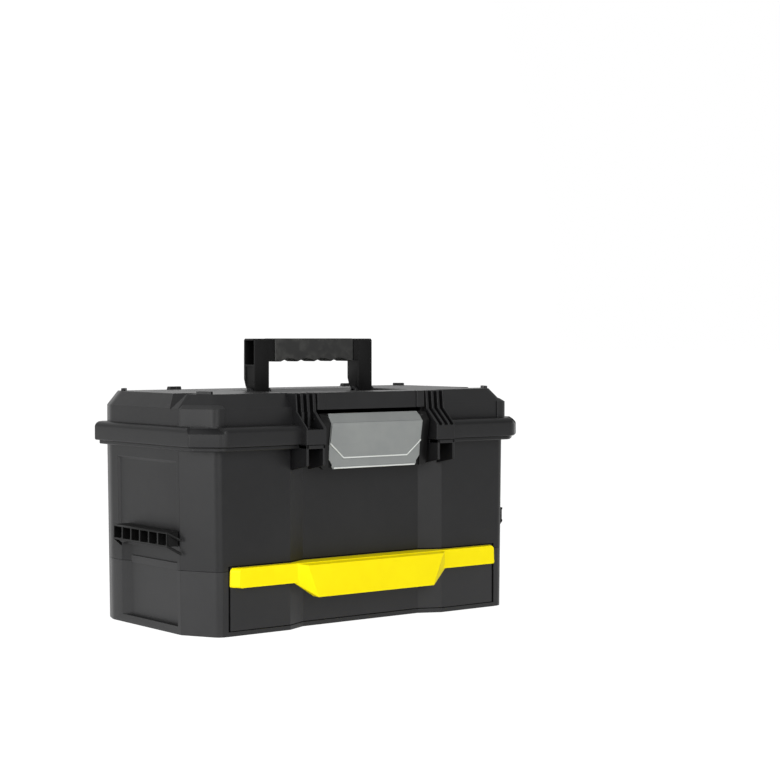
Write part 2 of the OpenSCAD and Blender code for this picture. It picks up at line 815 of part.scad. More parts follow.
module drawer_pull() {
    color(yellow_plastic) difference() {
        union() {
            slab(pull_z0, pull_z1) pull_plan(0);
            pull_scoop(0);
        }
        // hollow behind the band, closed above, open behind the scoop
        slab(pull_z0 + pull_t, pull_z1 - pull_t) pull_plan(pull_t);
        pull_scoop(pull_t);
        box([-96, -case_front - pull_out + pull_t, pull_z0 - over], [96, front_floor_y, pull_z0 + 2 * pull_t]);
        box([-78, -case_front - pull_out - 3, scoop_z0 - over], [78, -case_front - pull_out + 6, pull_z1 - 8]);
    }
}

module divider(x) {
    color(black_plastic)
        box([x - 1, tray_front_y + tray_wall, drawer_z0 + tray_wall], [x + 1, drawer_back_y - tray_wall, tray_top - 4]);
}

module divider_left() {
    divider(-92);
}

module divider_middle() {
    divider(0);
}

module divider_right() {
    divider(92);
}

// ---------------------------------------------------------------- tote tray

module tote_tray() {
    color(black_plastic) difference() {
        union() {
            box([-tote_hx, tote_y0, tote_z0], [tote_hx, tote_y1, tote_z1]);
            box([-tote_hx - 8, tote_y0 + 20, ledge_z + gap], [tote_hx + 8, tote_y1 - 20, tote_z1]);
        }
        for (y = [[tote_y0 + tote_t, tote_mid - 9], [tote_mid + 9, tote_y1 - tote_t]]) {
            box([-tote_hx + tote_t, y[0], tote_z0 + tote_t], [tote_hx - tote_t, y[1], tote_z1 + over]);
        }
        box([-tote_hx + tote_t, tote_mid - 9 + tote_t, tote_z0 - over], [tote_hx - tote_t, tote_mid + 9 - tote_t, tote_z1 - tote_t]);
    }
}

// The bail of the tote tray, standing on its middle web
module tote_handle() {
    color(yellow_plastic) difference() {
        box([-tote_grip_half, tote_mid - 8, tote_z1], [tote_grip_half, tote_mid + 8, tote_grip_top]);
        box([-tote_grip_half + 10, tote_mid - 9, tote_z1 + 4], [tote_grip_half - 10, tote_mid + 9, tote_grip_top - 14]);
    }
}

base_shell();
tub();
side_grip_left();
side_grip_right();
latch_keeper();
hinge_pin_left();
hinge_pin_right();
case_screws();
lid_shell();
latch_pin_left();
latch_pin_right();
handle_pin_left();
handle_pin_right();
latch_lever();
latch_plate();
handle_frame();
handle_grip();
drawer_tray();
drawer_front();
drawer_pull();
divider_left();
divider_middle();
divider_right();
tote_tray();
tote_handle();
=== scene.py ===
"""Looks of the portable tool box: every visible surface, the light and the camera.

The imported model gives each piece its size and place. This script makes the shells, the latch's
plate, the drawer's front and pull and the soft grip again in finer form, softens the edges of the
other pieces, and gives every surface its plastic, paint, rubber or steel.

Lengths here are millimetres until a mesh is made. X runs along the front of the box to the right,
Y from the front to the back, and Z up.
"""

import math

import bpy
import bmesh
from mathutils import Matrix, Vector


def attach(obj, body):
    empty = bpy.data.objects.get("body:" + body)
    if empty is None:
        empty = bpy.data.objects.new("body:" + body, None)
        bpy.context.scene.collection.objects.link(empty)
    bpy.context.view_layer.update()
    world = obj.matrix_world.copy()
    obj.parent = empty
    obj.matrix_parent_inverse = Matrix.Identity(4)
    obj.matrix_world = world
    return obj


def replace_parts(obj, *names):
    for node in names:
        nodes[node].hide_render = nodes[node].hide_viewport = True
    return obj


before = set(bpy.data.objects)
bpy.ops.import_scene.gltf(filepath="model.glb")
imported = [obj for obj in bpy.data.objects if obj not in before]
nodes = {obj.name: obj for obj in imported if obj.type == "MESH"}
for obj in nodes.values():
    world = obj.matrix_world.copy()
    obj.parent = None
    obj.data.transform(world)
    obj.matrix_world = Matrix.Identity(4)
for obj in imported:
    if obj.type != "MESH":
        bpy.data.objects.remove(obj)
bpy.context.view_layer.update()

MM = 0.001  # metres in a millimetre


# ---------------------------------------------------------------- shader expressions


class Wire:
    """A shader socket that takes part in Python arithmetic."""

    def __init__(self, owner, socket):
        self.owner, self.socket = owner, socket

    def _math(self, operation, a, b):
        return self.owner.node("ShaderNodeMath", {"operation": operation}, {0: a, 1: b})

    def __add__(self, other):
        return self._math("ADD", self, other)

    def __radd__(self, other):
        return self._math("ADD", other, self)

    def __sub__(self, other):
        return self._math("SUBTRACT", self, other)

    def __rsub__(self, other):
        return self._math("SUBTRACT", other, self)

    def __mul__(self, other):
        return self._math("MULTIPLY", self, other)

    def __rmul__(self, other):
        return self._math("MULTIPLY", other, self)

    def at_least(self, other):
        return self._math("MAXIMUM", self, other)


class Nodes:
    """A node tree being filled in."""

    def __init__(self, tree):
        self.tree = tree

    def node(self, kind, settings=None, inputs=None, out=0):
        """Any node: settings first, then the values or links of its sockets."""
        made = self.tree.nodes.new(kind)
        for key, value in (settings or {}).items():
            setattr(made, key, value)
        for key, value in (inputs or {}).items():
            self.feed(made.inputs[key], value)
        return Wire(self, made.outputs[out])

    def feed(self, socket, value):
        """Links a socket to a wire, or gives it a plain value."""
        if isinstance(value, Wire):
            self.tree.links.new(value.socket, socket)
        else:
            socket.default_value = value

    def ramp(self, value, low, high):
        """0 below low and 1 above high, smooth between."""
        return self.node("ShaderNodeMapRange", {"interpolation_type": "SMOOTHSTEP"},
                         {"Value": value, "From Min": low, "From Max": high})

    def ray_is(self, one_kind, other_kind):
        """1 for light rays of either kind, such as Camera or Glossy, and 0 for the rest."""
        one, other = (self.node("ShaderNodeLightPath", out=f"Is {kind} Ray")
                      for kind in (one_kind, other_kind))
        return one.at_least(other)


class Finish(Nodes):
    """One material being made: its node tree and the Principled shader it ends in."""

    def __init__(self, name):
        self.material = bpy.data.materials.new(name)
        self.material.use_nodes = True
        super().__init__(self.material.node_tree)
        self.shader = self.tree.nodes["Principled BSDF"]

    def place(self):
        """Where a point is on the box, in metres, riding with its piece."""
        return self.node("ShaderNodeTexCoord", out="Object")

    def noise(self, size_mm, detail=3.0, roughness=0.55):
        """Noise from 0 to 1 with lumps of about size_mm."""
        return self.node("ShaderNodeTexNoise", None, {
            "Vector": self.place(), "Scale": 1 / MM / size_mm,
            "Detail": detail, "Roughness": roughness,
        })

    def cells(self, size_mm):
        """Distance from the middle of the nearest cell, for a pebbled grain."""
        return self.node("ShaderNodeTexVoronoi", None,
                         {"Vector": self.place(), "Scale": 1 / MM / size_mm})

    def mix(self, factor, a, b):
        """Screen colour a, as (red, green, blue), where factor is 0, and b where it is 1."""
        return self.node("ShaderNodeMix", {"data_type": "RGBA"},
                         {0: factor, 6: linear_colour(*a), 7: linear_colour(*b)}, out=2)

    def bump(self, height, depth_mm):
        """A surface that height, from 0 to 1, raises by up to depth_mm."""
        return self.node("ShaderNodeBump", None, {"Height": height, "Distance": depth_mm * MM})

    def surface(self, sockets):
        """The finished material, its Principled shader fed with these values and wires."""
        for key, value in sockets.items():
            self.feed(self.shader.inputs[key], value)
        return self.material


def linear_colour(red, green, blue):
    """A screen colour, 0 to 255, as the linear colour that shaders use."""
    def linear(c):
        c /= 255
        return c / 12.92 if c <= 0.04045 else ((c + 0.055) / 1.055) ** 2.4
    return (linear(red), linear(green), linear(blue), 1.0)


# ---------------------------------------------------------------- finishes


def moulded_plastic(name, dark, light, roughness, grain_mm, grain_depth_mm, level=0.5):
    """Injection moulded plastic: a spark-eroded grain, flow marks and a slight cloudiness."""
    f = Finish(name)
    clouds = f.noise(60, detail=2)
    flow = f.noise(14, detail=4)
    grain = f.noise(grain_mm, detail=2, roughness=0.7)
    pebbles = f.cells(grain_mm * 1.6)
    shade = f.ramp(clouds * 0.6 + flow * 0.4, 0.3, 0.7)
    height = grain * 0.6 + pebbles * 0.4
    return f.surface({
        "Base Color": f.mix(shade, dark, light),
        "Roughness": roughness - 0.05 + flow * 0.1,
        "Normal": f.bump(height, grain_depth_mm),
        "Specular IOR Level": level,
    })


def soft_rubber(name, dark, light):
    """Soft overmoulded rubber: matt, with a fine pebbled skin, and lighter blotches of colour
    painted in as the rubber's mottled sheen.
    """
    f = Finish(name)
    # Painted highlight: lighter blotches in the colour stand in for the grip's mottled sheen; the
    # roughness follows them too
    painted_sheen_blotches = f.ramp(f.noise(13, detail=4), 0.4, 0.66)
    skin = f.cells(0.8) * 0.6 + f.noise(0.5) * 0.4
    return f.surface({
        "Base Color": f.mix(painted_sheen_blotches, dark, light),
        "Roughness": 0.55 + painted_sheen_blotches * 0.12,
        "Normal": f.bump(skin, 0.05),
    })


def silver_paint(name, dark, light):
    """Silver-grey paint on a moulded plate: fine metal flake under a satin clear."""
    f = Finish(name)
    flake = f.noise(0.35, detail=1)
    cloud = f.noise(25, detail=2)
    return f.surface({
        "Base Color": f.mix(f.ramp(flake * 0.5 + cloud * 0.5, 0.35, 0.65), dark, light),
        "Metallic": 0.25 + flake * 0.15,
        "Roughness": 0.36 + cloud * 0.08,
        "Normal": f.bump(flake, 0.006),
    })


def drawn_steel(name, dark, light):
    """Bright drawn steel, as on the pins and screws."""
    f = Finish(name)
    drawn = f.noise(0.8, detail=4)
    return f.surface({
        "Base Color": f.mix(drawn, dark, light),
        "Metallic": 1.0,
        "Roughness": 0.28 + drawn * 0.15,
        "Normal": f.bump(drawn, 0.01),
    })


case_black = moulded_plastic(
    "case_black_plastic", (20, 20, 21), (25, 25, 26), 0.42, 0.7, 0.035, level=0.35)
# Painted light: the case's own black plastic made lighter for the base, its strips and the drawer
# front, standing in for the floor's bounce that lights the lower box
base_black_painted_light = moulded_plastic(
    "base_black_plastic_painted_light", (29, 29, 30), (34, 34, 35), 0.42, 0.7, 0.035, level=0.4)
trim_black = moulded_plastic(
    "trim_black_plastic", (13, 13, 13), (17, 17, 17), 0.4, 0.5, 0.02, level=0.18)
tray_black = moulded_plastic(
    "tray_black_plastic", (30, 30, 31), (37, 37, 38), 0.5, 0.9, 0.03)
pull_yellow = moulded_plastic(
    "pull_yellow_plastic", (250, 229, 3), (253, 234, 5), 0.38, 0.5, 0.008, level=0.12)
grip_rubber = soft_rubber("grip_soft_rubber", (30, 30, 29), (54, 54, 52))
latch_silver = silver_paint("latch_silver_paint", (131, 134, 133), (139, 142, 140))
# Painted highlight: a much lighter copy of the silver paint, for the thin strips along the plate's
# edges where light catches them
silver_painted_highlight = silver_paint("latch_silver_painted_highlight", (212, 215, 212), (228, 231, 228))
pin_steel = drawn_steel("pin_bright_steel", (150, 150, 152), (182, 182, 184))


# ---------------------------------------------------------------- outlines

ARC_STEPS = 6


def rounded(corners):
    """An outline whose corners (x, y, radius) are turned into arcs of ARC_STEPS steps."""
    outline = []
    for i, (x, y, radius) in enumerate(corners):
        here = Vector((x, y))
        back = (Vector(corners[i - 1][:2]) - here).normalized()
        ahead = (Vector(corners[(i + 1) % len(corners)][:2]) - here).normalized()
        half = back.angle(ahead) / 2
        reach = radius / math.tan(half)
        middle = here + (back + ahead).normalized() * (radius / math.sin(half))
        start, end = here + back * reach - middle, here + ahead * reach - middle
        turn = start.angle_signed(end)
        for step in range(ARC_STEPS + 1):
            spoke = start.copy()
            spoke.rotate(Matrix.Rotation(-turn * step / ARC_STEPS, 2))
            outline.append((middle.x + spoke.x, middle.y + spoke.y))
    return outline


def both_sides(right):
    """The points of a right half, and then their mirror images on the way back."""
    return right + [(-point[0], *point[1:]) for point in reversed(right)]


def whole(right):
    """A whole rounded outline from its right half, drawn from the front to the back."""
    return rounded(both_sides(right))


# ---------------------------------------------------------------- making pieces


def linked(name, data):
    """A new object of the scene that shows this data."""
    made = bpy.data.objects.new(name, data)
    bpy.context.scene.collection.objects.link(made)
    return made


def mesh_piece(name, points, faces):
    """A closed mesh from points in millimetres, its faces turned outwards."""
    mesh = bpy.data.meshes.new(name)
    mesh.from_pydata([[c * MM for c in p] for p in points], [], faces)
    shape = bmesh.new()
    shape.from_mesh(mesh)
    bmesh.ops.recalc_face_normals(shape, faces=shape.faces)
    shape.to_mesh(mesh)
    shape.free()
    return linked(name, mesh)


def ring_sides(count, first=0):
    """The faces between two rings of count points, the lower one starting at point first."""
    return [(first + i, first + (i + 1) % count, first + count + (i + 1) % count, first + count + i)
            for i in range(count)]


def ring_ends(count, levels=2):
    """The faces that close the first and the last of several rings of count points."""
    return [tuple(range(count)), tuple(range((levels - 1) * count, levels * count))]


def loft(name, rings):
    """A solid through level outlines, given as (height, outline) from the bottom up."""
    points, faces, count = [], [], len(rings[0][1])
    for level, (z, outline) in enumerate(rings):
        points += [(x, y, z) for x, y in outline]
        if level:
            faces += ring_sides(count, (level - 1) * count)
    return mesh_piece(name, points, faces + ring_ends(count, len(rings)))


PLACED = {
    "z": lambda a, b, run: (a, b, run),
    "x": lambda a, b, run: (run, a, b),
    "y": lambda a, b, run: (a, run, b),
}


def prism(name, outline, low, high, along="z"):
    """An outline run from low to high: [x, y] along z, [y, z] along x or [x, z] along y."""
    count = len(outline)
    points = [PLACED[along](a, b, run) for run in (low, high) for a, b in outline]
    return mesh_piece(name, points, ring_sides(count) + ring_ends(count))


def block(name, low, high):
    """A plain block between two opposite corners (x, y, z)."""
    (x0, y0, z0), (x1, y1, z1) = low, high
    return prism(name, [(x0, y0), (x1, y0), (x1, y1), (x0, y1)], z0, z1)


def rod(name, x0, x1, axis, radius):
    """A round bar along X, its axis at (y, z)."""
    steps = 32
    turns = [2 * math.pi * i / steps for i in range(steps)]
    circle = [(axis[0] + radius * math.cos(a), axis[1] + radius * math.sin(a)) for a in turns]
    return prism(name, circle, x0, x1, "x")


def hull_piece(name, points):
    """The convex solid around a set of points in millimetres."""
    work = bmesh.new()
    for point in points:
        work.verts.new([c * MM for c in point])
    made = bmesh.ops.convex_hull(work, input=work.verts)
    spare = list(set(made["geom_interior"] + made["geom_unused"]))
    bmesh.ops.delete(work, geom=spare, context="VERTS")
    bmesh.ops.recalc_face_normals(work, faces=work.faces)
    mesh = bpy.data.meshes.new(name)
    work.to_mesh(mesh)
    work.free()
    return linked(name, mesh)


def twin(make, name, *args):
    """The same piece made for the right side and mirrored for the left."""
    right = make(name + "_right", *args)
    left = linked(name + "_left", right.data.copy())
    shape = bmesh.new()
    shape.from_mesh(left.data)
    for v in shape.verts:
        v.co.x = -v.co.x
    bmesh.ops.reverse_faces(shape, faces=shape.faces)
    shape.to_mesh(left.data)
    shape.free()
    return [right, left]


def add_boolean(piece, operation, other):
    """Has a piece joined with another, cut by it, or kept only inside it."""
    step = piece.modifiers.new(other.name, "BOOLEAN")
    step.operation, step.object, step.solver = operation, other, "EXACT"


def settle(piece, used):
    """Makes a piece's modifiers part of its mesh and removes the pieces they used."""
    seen = piece.evaluated_get(bpy.context.evaluated_depsgraph_get())
    made = bpy.data.meshes.new_from_object(seen)
    piece.modifiers.clear()
    piece.data = made
    for other in used:
        bpy.data.objects.remove(other)


def worked(piece, added=(), cut=()):
    """The piece with others added to it and then others cut from it."""
    for others, operation in ((added, "UNION"), (cut, "DIFFERENCE")):
        for other in others:
            add_boolean(piece, operation, other)
    settle(piece, (*added, *cut))
    shape = bmesh.new()
    shape.from_mesh(piece.data)
    bmesh.ops.remove_doubles(shape, verts=shape.verts, dist=0.02 * MM)
    bmesh.ops.dissolve_limit(
        shape, angle_limit=math.radians(0.3), verts=shape.verts, edges=shape.edges)
    shape.to_mesh(piece.data)
    shape.free()
    return piece


def kept_inside(pieces, shape):
    """The pieces with all that lies outside a shape taken off them."""
    for piece in pieces:
        add_boolean(piece, "INTERSECT", shape)
        settle(piece, ())
    bpy.data.objects.remove(shape)
    return pieces


def coat(piece, finish):
    """Gives a whole piece one finish, smoothly shaded."""
    piece.data.materials.clear()
    piece.data.materials.append(finish)
    for polygon in piece.data.polygons:
        polygon.use_smooth = True


def round_edges(piece, width_mm, angle, steps):
    """Rounds the edges of a piece that turn by more than angle degrees."""
    edge = piece.modifiers.new("edge", "BEVEL")
    edge.width, edge.segments = width_mm * MM, steps
    edge.limit_method, edge.angle_limit = "ANGLE", math.radians(angle)
    edge.use_clamp_overlap = True
    return edge


def dressed(piece, finish, body, edge_mm=0.8, angle=27, steps=3):
    """Gives a piece its rounded edges, its finish and the body that it rides on."""
    coat(piece, finish)
    round_edges(piece, edge_mm, angle, steps)
    flat = piece.modifiers.new("flat", "WEIGHTED_NORMAL")
    flat.mode, flat.keep_sharp = "FACE_AREA", False
    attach(piece, body)
    return piece


def dress_all(pieces, finish, body, edge_mm):
    """Dresses several pieces alike."""
    for piece in pieces:
        dressed(piece, finish, body, edge_mm)


# ---------------------------------------------------------------- plans of the box

HALF, FRONT, BACK = 225.5, -98.0, 113.5
RIM_HALF, RIM_FRONT, RIM_BACK = 233.0, -116.0, 122.0
SEAM, RIM_UNDER, LEDGE, SHOULDER, TOP = 70.5, 204.9, 226.5, 245.5, 261.0
SLOPE_IN = 14  # how far the lid's shoulder slopes in

# The shallow recess in the front: where its slanted ends start and stop, and its depth
RECESS_IN, RECESS_OUT, RECESS_FLOOR = 82, 108, -85.5

# Beyond the front and the back of everything, where cuts begin and end
FORE, AFT = -130, 130


def corner_points(half, front, back, cut, rear, inset, radii):
    """The right half of a plan with cut front and back corners, moved in by inset."""
    (cx, cy), (bx, by) = cut, rear
    run, rear_run = math.hypot(cx, cy), math.hypot(bx, by)
    return [
        (half - cx - inset * (run - cx) / cy, front + inset, radii[0]),
        (half - inset, front + cy + inset * (run - cy) / cx, radii[1]),
        (half - inset, back - by - inset * (rear_run - by) / bx, radii[2]),
        (half - bx - inset * (rear_run - bx) / by, back - inset, radii[3]),
    ]


def case_corners(half, inset):
    """The right-hand corners of the case, half its width out from the middle."""
    return corner_points(half, FRONT, BACK, (23, 42), (8, 21.5), inset, (12, 3, 30, 6))


def case_outline(inset=0.0, recessed=False):
    """The plan of the lid's walls, or with the recess in its front that of the tub and base."""
    right = case_corners(HALF, inset)
    if recessed:
        right = [(RECESS_IN, RECESS_FLOOR, 2), (RECESS_OUT, FRONT, 1.5)] + right
    return whole(right)


def top_outline(inset):
    """The plan of the lid's top: front and ends come in by inset, the back by SLOPE_IN less."""
    front_corners = case_corners(HALF, inset)[:2]
    back_corners = case_corners(HALF - SLOPE_IN, max(inset - SLOPE_IN, 0.0))[2:]
    return whole(front_corners + back_corners)


def rim_outline(inset):
    """The plan of the lid's rim and of the tub's flange below it."""
    return whole(corner_points(
        RIM_HALF, RIM_FRONT, RIM_BACK, (27.5, 27.5), (8, 8), inset, (15, 4, 2, 2)))


# ---------------------------------------------------------------- lid

# A latch guard stands at each end of the latch's bay, from GUARD_IN to GUARD_OUT
GUARD_IN, GUARD_OUT, GUARD_FRONT = 78.5, 105, -125.5
ROLL = 6.5  # radius of the rim's rolled upper edge
EYE_RADIUS = 5
LID_HINGE, HINGE_ARMS = (120.5, 206), ((119, 126), (128, 135))
HINGE_SEAT = 114.5  # how far in from the back the bays of the hinges reach
HANDLE_AXIS = (12, 258.5)


def rolled_rim():
    """The lid's rim as a solid: a small chamfer below, a flat face and a rolled upper edge."""
    rings = [(RIM_UNDER, rim_outline(1.6)), (RIM_UNDER + 0.5, rim_outline(0.5)),
             (RIM_UNDER + 1.6, rim_outline(0))]
    for step in range(7):
        turn = math.radians(15 * step)
        height = LEDGE - ROLL + ROLL * math.sin(turn)
        rings.append((height, rim_outline(ROLL - ROLL * math.cos(turn))))
    return loft("rim", rings)


def lid_linings():
    """Material inside the hollow lid, below and behind what is cut into it from outside."""
    pan = prism("pan", [(-59, 248), (20, 248), (52, TOP - 3.2), (52, TOP - 1), (-59, TOP - 1)],
                -95, 95, "x")
    slope = [(187, 240.5), (224.5, 240.5), (224.5, SHOULDER), (211, TOP - 1.5), (187, TOP - 1.5)]
    trough = twin(prism, "trough", slope, -57, -17, "y")
    back_wall = block("wall_behind_latch", (-83.5, FRONT, RIM_UNDER), (83.5, FRONT + 3, LEDGE + 2))
    corner = [(199, -95), (204, FORE), (255, FORE), (255, -85), (230, -83.5), (215, -61)]
    step_floor = twin(prism, "step_floor", corner, LEDGE - 9.5, LEDGE - 0.6)
    inside_rim = [(LEDGE - 9.5, rim_outline(2.2)), (LEDGE - ROLL, rim_outline(2.2)),
                  (LEDGE - 2, rim_outline(4))]
    return [pan, *trough, back_wall, *kept_inside(step_floor, loft("inside_rim", inside_rim))]


def lid_cuts():
    """What is cut into the lid from outside.

    These are the handle's recess, the bays of the latch, the guards and the hinges, the notches
    under the corner pads, the grooves at both ends and the gap above the latch.
    """
    recess = [(-56, 251), (18.5, 251), (50, TOP + 0.1), (50, TOP + 9), (-56, TOP + 9)]
    bay_front = RIM_FRONT - 12
    deep = [(203.5, -99.5), (203.5, FORE), (250, FORE), (250, -82), (226.8, -82)]
    shallow = [(204.9, -115.2), (204.9, FORE), (250, FORE), (250, -88.2), (232.3, -88.2)]
    groove = [(-41, 243.5), (-22, TOP + 1), (-51, TOP + 1)]
    return [
        prism("recess", recess, -92, 92, "x"),
        block("latch_bay", (-GUARD_IN, bay_front, 200), (GUARD_IN, FRONT, 242)),
        *twin(block, "guard_bay", (77, bay_front, 200), (GUARD_OUT, FRONT - 0.5, LEDGE + 3)),
        *twin(loft, "notch", [(219.4, shallow), (225.2, deep), (LEDGE + 1, deep)]),
        *twin(prism, "groove", groove, 190, HALF + 5, "x"),
        *twin(block, "knuckle_bay", (110, HINGE_SEAT, 200), (119, AFT, 214)),
        *twin(block, "knuckle_bay", (135, HINGE_SEAT, 200), (146, AFT, 214)),
        *twin(block, "arm_split", (126, HINGE_SEAT, 200), (128, AFT, LEDGE + 1)),
        block("latch_gap", (-76, -99, 237.4), (76, -90, 243.6)),
    ]


def lid_body():
    """The lid's skin: its rolled rim, upright walls and sloped shoulder, hollow below."""
    skin = loft("lid_body", [(218, case_outline(2)), (LEDGE - 1, case_outline(0)),
                             (SHOULDER, case_outline(0)), (TOP, top_outline(SLOPE_IN))])
    hollow = loft("hollow", [(200, rim_outline(3)), (LEDGE - ROLL, rim_outline(3)),
                             (LEDGE - 3, rim_outline(ROLL))])
    dome = loft("dome", [(LEDGE - 4, case_outline(3)), (SHOULDER - 1.5, case_outline(3)),
                         (TOP - 3, top_outline(SLOPE_IN + 3))])
    worked(skin, [rolled_rim()], [hollow, dome])
    worked(skin, lid_linings(), lid_cuts())
    return dressed(skin, case_black, "lid", 0.9)


def corner_pads():
    """The raised pads on the lid's front corners, wrapped a little way round onto the front.

    Their tops slope in with the lid's shoulder.
    """
    foot = [(224.4, -58.2, 0.6), (226.9, -59.3, 1.6), (206.1, -100.4, 11),
            (193.4, -99.9, 1.2), (193.4, -95, 0.6), (202, -95, 0.6)]
    top = [(218.2, -55.3, 0.6), (221.2, -56.3, 1.6), (202.5, -94.4, 11),
           (193.4, -93.9, 1.2), (193.4, -90, 0.6), (198.5, -90, 0.6)]
    rings = [(223.6, rounded(foot)), (SHOULDER, rounded(foot)), (SHOULDER + 4, rounded(top))]
    dress_all(twin(loft, "corner_pad", rings), case_black, "lid", 1.2)


def corner_tabs():
    """The stacking tabs that stand on the front and back corners of the top."""
    front = [(205.5, -60), (197, -77), (193.5, -75.2), (202, -58.2)]
    back = [(207.5, 98), (198, 108.5), (195, 105.8), (204.5, 95.3)]
    for name, outline in (("front_tab", front), ("back_tab", back)):
        dress_all(twin(prism, name, outline, TOP - 2, TOP + 3), case_black, "lid", 0.7)


def hinge_arms():
    """The lid's halves of the two rear hinges: a pair of arms each, with their knuckles."""
    profile = [(111.5, 207), (116, 207), (120.5, 204), (125, 207), (121.5, 222), (117.5, TOP),
               (116, 264.5), (110.5, 264.5), (109, 260), (111.5, 256)]
    for x0, x1 in HINGE_ARMS:
        dress_all(twin(prism, "hinge_arm", profile, x0, x1, "x"), case_black, "lid", 0.7)
        dress_all(twin(rod, "hinge_knuckle", x0, x1, LID_HINGE, EYE_RADIUS), case_black, "lid", 0.5)


def handle_ears():
    """The ears on both sides of each handle post, with the feet that they stand on."""
    y, z = HANDLE_AXIS
    for x0 in (60.6, 84.9):
        x1 = x0 + 4
        dress_all(twin(rod, "handle_ear", x0, x1, HANDLE_AXIS, 5.5), case_black, "lid", 0.6)
        foot = twin(block, "handle_ear_foot", (x0, y - 5, 250), (x1, y + 5, z))
        dress_all(foot, case_black, "lid", 0.5)


def latch_guards():
    """The ribs at both ends of the latch, on a block that is hollow below.

    On the left the inner ribs stand back.
    """
    side = [(-96, RIM_UNDER), (GUARD_FRONT, RIM_UNDER), (GUARD_FRONT, 223), (-106.5, 240.5),
            (-104.5, TOP), (-82, TOP), (-96, SHOULDER)]
    guards = twin(prism, "latch_guard", side, GUARD_IN, GUARD_OUT, "x")
    slots = [slot for x in (84.5, 92.75, 101)
             for slot in twin(block, "guard_slot", (x - 2.4, FORE, 221.5), (x + 2.4, -96.5, 270))]
    hollows = twin(block, "guard_hollow", (82, -122.5, 200), (101.5, -101, 218.5))
    back_slot = prism("back_slot", [(FORE, 221.5), (-107, 221.5), (-107, 270), (FORE, 270)],
                      -103.3, -82.1, "x")
    right_cuts = slots[0::2] + hollows[:1]
    left_cuts = slots[1::2] + hollows[1:] + [back_slot]
    for guard, cuts in zip(guards, (right_cuts, left_cuts)):
        dressed(worked(guard, cut=cuts), case_black, "lid", 0.6)


def centre_panel():
    """The upright panel above the latch, with an end on each side that stands a step forward."""
    middle = block("centre_panel", (-66, -104.0, 242), (66, -82, TOP))
    ends = twin(block, "centre_panel_end", (65, -105.5, 242), (76, -82, TOP))
    inside = block("panel_hollow", (-63, -102.5, 238), (63, -84, TOP - 3))
    dressed(worked(middle, cut=[inside]), case_black, "lid", 0.6)
    dress_all(ends, case_black, "lid", 0.7)


# ---------------------------------------------------------------- tub and base

HINGE_LUGS = ((112.5, 118.5), (135.5, 141.5))
DRAWER_ROOM = 188.9  # half the width of the opening that the drawer runs in
THICK_WALL, THIN_WALL = 9.3, 4.8


def drawn_in(piece):
    """Leans a shell's end walls in towards the bottom, as the real moulding draws in."""
    lean, full_height, end_wall = 2.6, 200, 196
    for v in piece.data.vertices:
        x, z = v.co.x / MM, v.co.z / MM
        if abs(x) > end_wall and z < full_height:
            v.co.x -= math.copysign(lean * (1 - z / full_height), x) * MM
    return piece


def foot_panel(low, high):
    """The panel that is recessed low down in each end wall, as a pair of cuts."""
    plan = [(219, -50), (230, -50), (230, 72), (HALF, 69), (219, 56)]
    return twin(prism, "foot_panel", plan, low, high)


def side_panel(side):
    """The shallow panel in an end wall of the tub, as a cut with sloped edges."""
    floor = [(-49, 94), (72, 94), (72, 186), (-49, 186)]
    mouth = [(-52, 88), (77.5, 88), (77.5, 190), (-52, 190)]
    points = [(side * (HALF - 2), y, z) for y, z in floor]
    points += [(side * (HALF + 1), y, z) for y, z in mouth]
    return mesh_piece("side_panel", points, ring_ends(4) + ring_sides(4))


def tub_body():
    """The deep tub: flange, walls with a shallow panel each side, recessed front, floor and lip."""
    tub = loft("tub_body", [(SEAM, case_outline(recessed=True)),
                            (204.5, case_outline(recessed=True))])
    flange = loft("flange", [(200.5, rim_outline(5.8)), (201.3, rim_outline(5)),
                             (204.5, rim_outline(5))])
    worked(flange, cut=[block("front_gap", (-79.5, FORE, 195), (79.5, FRONT, 210))])
    lip = loft("lip", [(203.5, case_outline(3.8)), (209, case_outline(3.8))])
    thick, thin = case_outline(THICK_WALL), case_outline(THIN_WALL)
    low_room = loft("low_room", [(81.5, thick), (92.8, thick)])
    room = loft("room", [(92.7, thin), (200.5, thin)])
    mouth = loft("mouth", [(200.4, case_outline(6)), (212, case_outline(6))])
    for hollow in (low_room, room):
        behind_recess = [(-112, -80), (112, -80), (112, -110), (-112, -110)]
        worked(hollow, cut=[prism("behind_recess", behind_recess, 60, 199)])
    under_floor = 75.8
    under = loft("under", [(60, thick), (under_floor, thick)])
    drawer_bay = block("drawer_bay", (-DRAWER_ROOM, -110, 60),
                       (DRAWER_ROOM, RECESS_FLOOR + 3.8, under_floor))
    knuckles = twin(block, "knuckle_bay", (118.5, HINGE_SEAT, 195), (135.5, AFT, 206))
    worked(tub, [flange, lip], [low_room, room, mouth, under, drawer_bay, side_panel(1),
                                side_panel(-1), *foot_panel(60, 90), *knuckles])
    return dressed(drawn_in(tub), case_black, "case", 0.8)


def tub_fittings():
    """What stands on the tub: gussets and a shelf under the guards, hinge lugs, tray ledges."""
    gusset = [(-96, 176), (GUARD_FRONT, 182), (GUARD_FRONT, 204.5), (-96, 204.5)]
    lug = [(112.5, 190), (118, 201), (121.5, 206), (117.5, 204.3), (112.5, 204.3)]
    pieces = []
    for x0, x1 in ((80, 83), (GUARD_OUT - 3, GUARD_OUT)):
        pieces += twin(prism, "gusset", gusset, x0, x1, "x")
    pieces += twin(block, "guard_shelf", (80, GUARD_FRONT, 200.5), (GUARD_OUT, -96, 204.5))
    for x0, x1 in HINGE_LUGS:
        pieces += twin(prism, "hinge_lug", lug, x0, x1, "x")
    for x0, x1 in HINGE_LUGS:
        pieces += twin(rod, "hinge_lug_eye", x0, x1, LID_HINGE, EYE_RADIUS)
    pieces += twin(block, "tray_ledge", (203, -45, 177), (221.5, 60, 187))
    dress_all(pieces, case_black, "case", 0.6)


